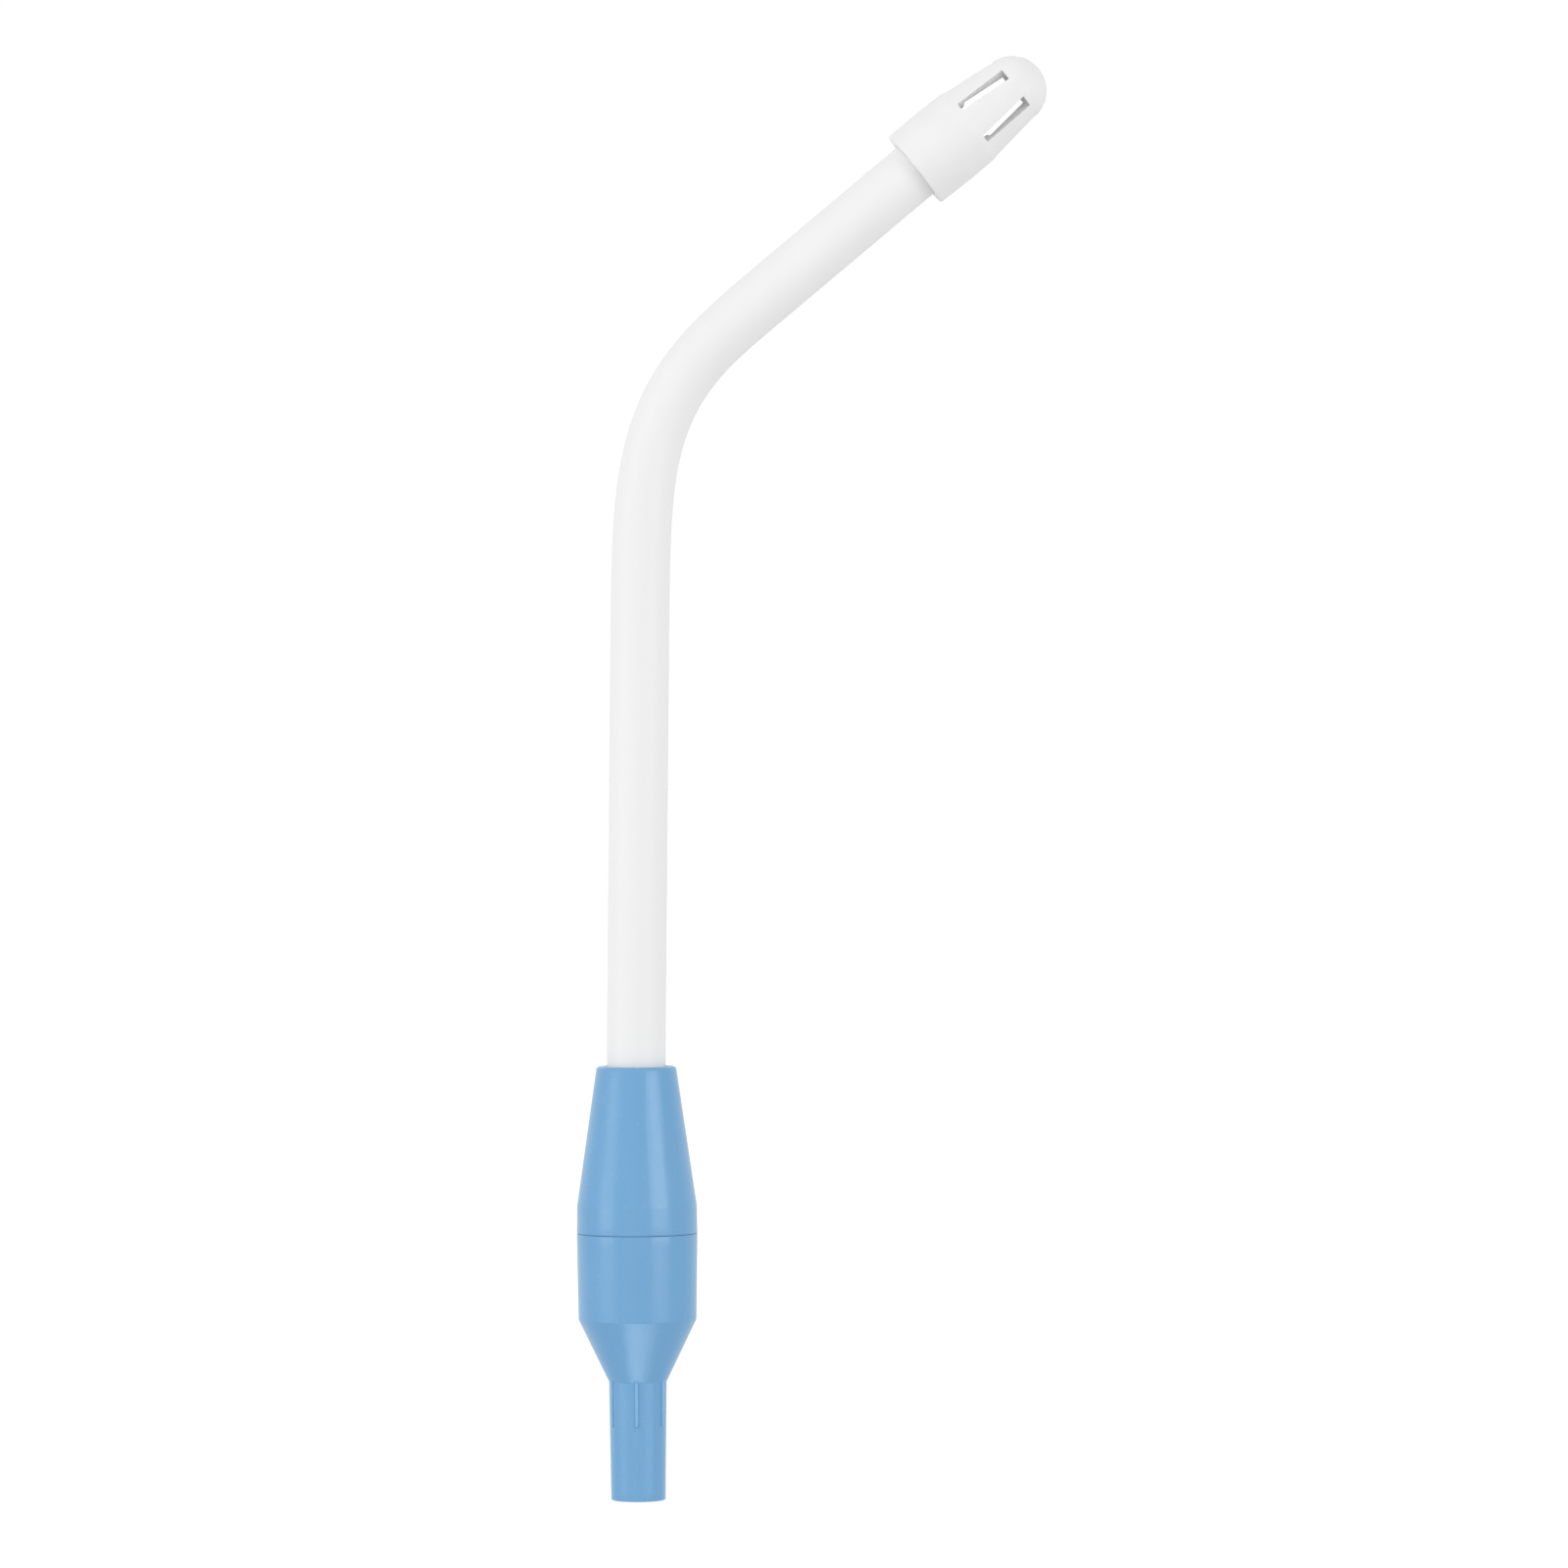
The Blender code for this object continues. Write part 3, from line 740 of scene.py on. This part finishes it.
def cap_profiles():
    """Closed run of (radius, height) points: outside from nose to base, then inside back up.

    With it come the number of rows along a slot, the first such row outside and inside.
    """
    slot_rows = [*np.linspace(SLOT_BOTTOM, CAP_STOP_TOP, 5),
                 *np.linspace(CAP_STOP_TOP, CAVITY_BOTTOM, 6)[1:],
                 *np.linspace(CAVITY_BOTTOM, SLOT_TOP, 14)[1:]]
    tangent = DOME_CENTRE + DOME_RADIUS * math.sin(DOME_START)
    tangent_radius = DOME_RADIUS * math.cos(DOME_START)

    def outer_radius(height):
        """Radius of the cone or the dome at a height in the slots' reach."""
        if height > tangent:
            return math.sqrt(DOME_RADIUS**2 - (height - DOME_CENTRE)**2)
        near = [height - CONE_ROUND, height, height + CONE_ROUND]
        return float(np.mean(np.interp(near, [CAP_TAPER, CAP_CONE, tangent],
                                       [CAP_TAPER_RADIUS, CAP_CONE_RADIUS, tangent_radius])))

    def inner_radius(height):
        """Radius of the stop, of its sloping top or of the tapered cavity above it."""
        top = DOME_CENTRE + CAVITY_DOME_RADIUS * math.sin(CAVITY_DOME_START)
        top_radius = CAVITY_DOME_RADIUS * math.cos(CAVITY_DOME_START)
        return float(np.interp(height, [CAP_STOP_TOP, CAVITY_BOTTOM, top],
                               [CAP_STOP_RADIUS, CAVITY_RADIUS, top_radius]))

    slot_top_angle = math.asin((SLOT_TOP - DOME_CENTRE) / DOME_RADIUS)
    crown = [(DOME_RADIUS * math.cos(a), DOME_CENTRE + DOME_RADIUS * math.sin(a))
             for a in np.linspace(math.pi / 2, slot_top_angle, 28)]
    crown[0] = (0, crown[0][1])
    lower_wall = outline([
        (outer_radius(SLOT_BOTTOM), SLOT_BOTTOM, 0),
        (CAP_TAPER_RADIUS, CAP_TAPER, 0.9),
        (CAP_WAIST_RADIUS, CAP_WAIST, 8.0),
        (CAP_BASE_RADIUS, 0, 0.22),
        (CAP_BORE_RADIUS, 0, 0.15),
        (CAP_BORE_RADIUS, CAP_STOP, 0.05),
        (CAP_STOP_RADIUS, CAP_STOP, 0),
    ])[1:]
    outer = crown[:-1] + [(outer_radius(h), h) for h in slot_rows[::-1]] + lower_wall
    cavity = [(inner_radius(h), h) for h in slot_rows]
    vault = [(CAVITY_DOME_RADIUS * math.cos(a), DOME_CENTRE + CAVITY_DOME_RADIUS * math.sin(a))
             for a in np.linspace(CAVITY_DOME_START, math.pi / 2, 16)]
    vault[-1] = (0, vault[-1][1])
    vault = [point for point in vault if point[1] > SLOT_TOP + 0.05]
    return outer + cavity + vault, len(slot_rows), len(crown) - 1, len(outer)


def tip_cap():
    """Cap as one welded grid: rings of columns that follow the six tapering slots."""
    points, slot_rows, first_outer, first_inner = cap_profiles()
    in_outer = range(first_outer, first_outer + slot_rows)
    in_inner = range(first_inner, first_inner + slot_rows)

    def slot_half_angle(row):
        """Half the angle that a slot takes up on a ring."""
        block = in_outer if row < first_inner else in_inner
        near = min(max(row, block[0]), block[-1])
        radius, height = points[near]
        width = np.interp(height, [SLOT_BOTTOM, SLOT_TOP], [SLOT_BOTTOM_WIDTH, SLOT_TOP_WIDTH])
        return math.asin(width / 2 / radius)

    columns = SLOT_COUNT * (SLOT_COLUMNS + LAND_COLUMNS)
    sector = math.tau / SLOT_COUNT
    rings = []
    for row, (radius, height) in enumerate(points):
        half = slot_half_angle(row)
        turns = []
        for slot in range(SLOT_COUNT):
            middle = FIRST_SLOT + slot * sector
            turns += list(np.linspace(middle - half, middle + half, SLOT_COLUMNS + 1)[:-1])
            turns += list(np.linspace(middle + half, middle + sector - half,
                                      LAND_COLUMNS + 1)[:-1])
        rings.append([(radius * math.cos(t), radius * math.sin(t), height) for t in turns])
    vertices = [tuple(v) for v in np.array(rings).reshape(-1, 3)]
    faces = []

    def corner(row, column):
        """Index of a grid point."""
        return row * columns + column % columns

    def is_slot(column):
        """Whether a column of faces lies in a slot's band."""
        return column % (SLOT_COLUMNS + LAND_COLUMNS) < SLOT_COLUMNS

    open_rows = set(list(in_outer)[:-1]) | set(list(in_inner)[:-1])
    for row in range(len(points) - 1):
        for column in range(columns):
            if row in open_rows and is_slot(column):
                continue
            faces.append((corner(row, column), corner(row + 1, column),
                          corner(row + 1, column + 1), corner(row, column + 1)))
    outer_up = list(in_outer)[::-1]
    inner_up = list(in_inner)
    for slot in range(SLOT_COUNT):
        left = slot * (SLOT_COLUMNS + LAND_COLUMNS)
        right = left + SLOT_COLUMNS
        for step in range(slot_rows - 1):
            o, o_next = outer_up[step], outer_up[step + 1]
            i, i_next = inner_up[step], inner_up[step + 1]
            faces.append((corner(o, left), corner(i, left),
                          corner(i_next, left), corner(o_next, left)))
            faces.append((corner(o, right), corner(o_next, right),
                          corner(i_next, right), corner(i, right)))
        for column in range(left, right):
            low_o, low_i = outer_up[0], inner_up[0]
            top_o, top_i = outer_up[-1], inner_up[-1]
            faces.append((corner(low_o, column), corner(low_o, column + 1),
                          corner(low_i, column + 1), corner(low_i, column)))
            faces.append((corner(top_o, column), corner(top_i, column),
                          corner(top_i, column + 1), corner(top_o, column + 1)))
    mesh = bpy.data.meshes.new("tip_cap_body")
    mesh.from_pydata(vertices, [], faces)
    weld(mesh, whole=True)

    slide = Vector(JOINTS["cap_pull"]["axis"]).normalized()
    tilt = math.atan2(slide.x, slide.z)
    base = centre(CAP_STATION + CAP_TILT_CENTRE) - CAP_TILT_CENTRE * MM * slide
    cap = finished("tip_cap_body", mesh,
                   Matrix.Translation(base) @ Matrix.Rotation(tilt, 4, "Y"))
    soften = cap.modifiers.new("soft_edges", "BEVEL")
    soften.width = EDGE_SOFTNESS * MM
    soften.segments = 2
    soften.limit_method = "ANGLE"
    soften.angle_limit = BEVEL_ANGLE
    soften.harden_normals = True
    return dress(cap, CAP_WHITE, "white_cap", "tip_cap", body="cap")


# ---- stage, light and camera -----------------------------------------------------

def floor():
    """Pale seamless floor at the tail's end."""
    mesh = bpy.data.meshes.new("floor")
    plane = bmesh.new()
    bmesh.ops.create_circle(plane, cap_ends=True, radius=12, segments=96)
    plane.to_mesh(mesh)
    plane.free()
    made = bpy.data.objects.new("floor", mesh)
    made.location = (0, 0, cad_low.z - 0.0001)
    bpy.context.scene.collection.objects.link(made)
    material = bpy.data.materials.new("pale_floor")
    tree, shader = nodes_of(material)
    shader.inputs["Base Color"].default_value = (0.15, 0.15, 0.15, 1)
    shader.inputs["Roughness"].default_value = 0.9
    shader.inputs["Specular IOR Level"].default_value = 0.1
    shader.inputs["Emission Color"].default_value = (1, 1, 1, 1)
    shader.inputs["Emission Strength"].default_value = 0.91
    mesh.materials.append(material)
    made.visible_diffuse = False
    made.visible_glossy = False


def softbox(name, azimuth, elevation, distance, width, height, power, target, shine=True,
            fill=True, spread=180):
    """Rectangular area light that faces the object; azimuth 0 is the camera's side."""
    light = bpy.data.lights.new(name, "AREA")
    light.shape = "RECTANGLE"
    light.size = width
    light.size_y = height
    light.energy = power
    light.spread = math.radians(spread)
    made = bpy.data.objects.new(name, light)
    a, e = math.radians(azimuth), math.radians(elevation)
    away = Vector((math.sin(a) * math.cos(e), -math.cos(a) * math.cos(e), math.sin(e)))
    made.location = target + away * distance
    made.rotation_mode = "QUATERNION"
    made.rotation_quaternion = away.to_track_quat("Z", "Y")
    made.visible_camera = False
    made.visible_glossy = shine
    made.visible_diffuse = fill
    bpy.context.scene.collection.objects.link(made)


def studio():
    """White surround that shines from behind, soft boxes at both sides and a low card."""
    world = bpy.data.worlds.new("studio")
    bpy.context.scene.world = world
    world.use_nodes = True
    tree = world.node_tree
    background = tree.nodes["Background"]
    ray = tree.nodes.new("ShaderNodeLightPath")
    direction = tree.nodes.new("ShaderNodeTexCoord")
    axes = tree.nodes.new("ShaderNodeSeparateXYZ")
    tree.links.new(direction.outputs["Generated"], axes.inputs["Vector"])
    mirrored = tree.nodes.new("ShaderNodeMapRange")
    mirrored.inputs["From Min"].default_value = 0.2
    mirrored.inputs["From Max"].default_value = 0.7
    mirrored.inputs["To Min"].default_value = 0.48
    mirrored.inputs["To Max"].default_value = 0.95
    tree.links.new(axes.outputs["Y"], mirrored.inputs["Value"])
    level = mirrored.outputs["Result"]
    for kind, strength in (("Is Diffuse Ray", 0.76), ("Is Camera Ray", 1.03)):
        choose = tree.nodes.new("ShaderNodeMix")
        choose.inputs["B"].default_value = strength
        tree.links.new(ray.outputs[kind], choose.inputs["Factor"])
        tree.links.new(level, choose.inputs["A"])
        level = choose.outputs["Result"]
    tree.links.new(level, background.inputs["Strength"])
    background.inputs["Color"].default_value = (1, 1, 1, 1)
    middle = (cad_low + cad_high) / 2
    softbox("key_left", -66, 12, 1.6, 1.1, 1.4, 9.2, middle, shine=False)
    softbox("shine_left", -60, 1, 1.6, 0.85, 0.39, 2.3, middle, fill=False)
    softbox("fill_right", 44, 8, 1.6, 0.8, 1.4, 7.6, middle, shine=False)
    softbox("shine_right", 46, 5, 1.6, 1.0, 0.61, 5.2, middle, fill=False)
    lower_cone = Vector((2.3, -4.85, 16.5)) * MM
    softbox("low_card", 0, -55, 0.014, 0.018, 0.010, 0.00028, lower_cone, fill=False,
            spread=76)
    bpy.context.scene.view_settings.view_transform = "Standard"


def camera():
    """Long lens in front of the object, level with its middle and a touch rolled."""
    lens = bpy.data.cameras.new("camera")
    lens.lens = 180
    lens.sensor_width = 36
    lens.clip_start = 0.05
    lens.clip_end = 100
    made = bpy.data.objects.new("camera", lens)
    bpy.context.scene.collection.objects.link(made)
    target = Vector((16.43, 0, 78.83)) * MM
    made.location = Vector((16.43, -864, 84.33)) * MM
    aim = (target - made.location).to_track_quat("-Z", "Y")
    roll = Matrix.Rotation(math.radians(-0.28), 4, "Z")
    made.matrix_world = (Matrix.Translation(made.location)
                         @ aim.to_matrix().to_4x4() @ roll)
    bpy.context.scene.camera = made


camera()
lower_housing()
upper_housing()
duckbill_barrel()
duckbill_lip(-1)
duckbill_lip(1)
tube_and_wire()
tip_cap()
floor()
studio()
